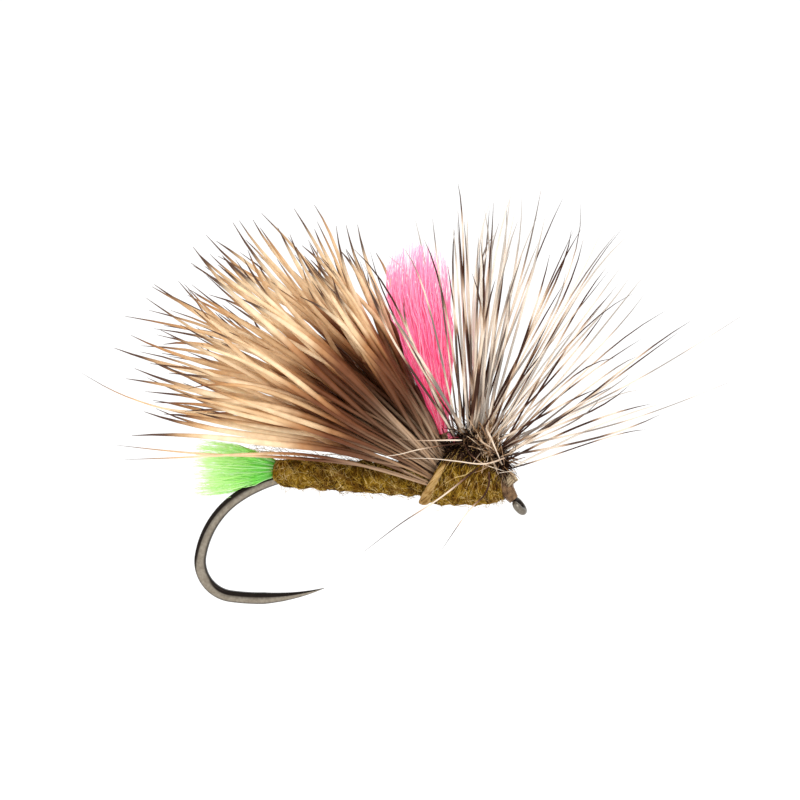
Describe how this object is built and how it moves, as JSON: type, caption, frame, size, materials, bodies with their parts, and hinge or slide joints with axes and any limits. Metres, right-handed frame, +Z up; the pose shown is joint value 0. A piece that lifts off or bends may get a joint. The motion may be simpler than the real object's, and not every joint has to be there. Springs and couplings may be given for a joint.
{
  "type": "dry fly",
  "caption": "Barbless dry fly with a deer-hair wing, olive dubbed body, green tag, pink sighter post and a barred hackle fan over the thorax.",
  "frame": {"origin": "centre of the hook's eye ring, where the tippet is tied", "axes": "+X forward past the eye along the shank, +Z up away from the hook's point, +Y to the fly's left"},
  "size_m": [0.0271, 0.0114, 0.0178],
  "materials": {
    "black_nickel": "dark nickel plate, ground flats, satin",
    "tying_thread": "waxed brown thread",
    "green_yarn": "bright green sparkle yarn, brushed out",
    "olive_dubbing": "olive-brown fur, fuzzy",
    "tan_dubbing": "pale tan fur",
    "deer_hair": "hollow hair, taupe base, tan band, dark tip",
    "pink_yarn": "fluorescent pink poly yarn",
    "dark_quill": "dark feather stem",
    "pale_quill": "pale trimmed feather stem",
    "grizzly_barb": "barred cream and near-black feather barbs"
  },
  "bodies": {
    "root": {"hook": "black_nickel", "thread_underbody": "tying_thread", "tag_yarn": "green_yarn", "tag_wraps": "tying_thread", "abdomen_dubbing": "olive_dubbing", "wing_butts": "deer_hair", "wing_wraps": "tying_thread", "wing_lock_01": "deer_hair", "wing_lock_02": "deer_hair", "wing_lock_03": "deer_hair", "wing_lock_04": "deer_hair", "wing_lock_05": "deer_hair", "wing_lock_06": "deer_hair", "wing_lock_07": "deer_hair", "wing_lock_08": "deer_hair", "wing_lock_09": "deer_hair", "wing_lock_10": "deer_hair", "wing_lock_11": "deer_hair", "wing_lock_12": "deer_hair", "wing_lock_13": "deer_hair", "wing_lock_14": "deer_hair", "wing_lock_15": "deer_hair", "wing_stray_hair_1": "deer_hair", "wing_stray_hair_2": "deer_hair", "wing_stray_hair_3": "deer_hair", "thorax_dubbing": "olive_dubbing", "thorax_rear_turn": "tan_dubbing", "sighter_yarn": "pink_yarn", "sighter_wraps": "tying_thread", "hackle_stem": "dark_quill", "hackle_stem_butt": "pale_quill", "hackle_barbs_01": "grizzly_barb", "hackle_barbs_02": "grizzly_barb", "hackle_barbs_03": "grizzly_barb", "hackle_barbs_04": "grizzly_barb", "hackle_barbs_05": "grizzly_barb", "hackle_barbs_06": "grizzly_barb", "hackle_barbs_07": "grizzly_barb", "hackle_barbs_08": "grizzly_barb", "hackle_barbs_09": "grizzly_barb", "hackle_barbs_10": "grizzly_barb", "hackle_barbs_11": "grizzly_barb", "hackle_barbs_12": "grizzly_barb", "hackle_barbs_13": "grizzly_barb", "hackle_barbs_14": "grizzly_barb", "hackle_stray_barb_1": "grizzly_barb", "hackle_stray_barb_2": "grizzly_barb", "hackle_stray_barb_3": "grizzly_barb", "leg_barb_rear": "grizzly_barb", "leg_barb_front": "grizzly_barb", "head_wraps": "tying_thread"}
  },
  "joints": []
}
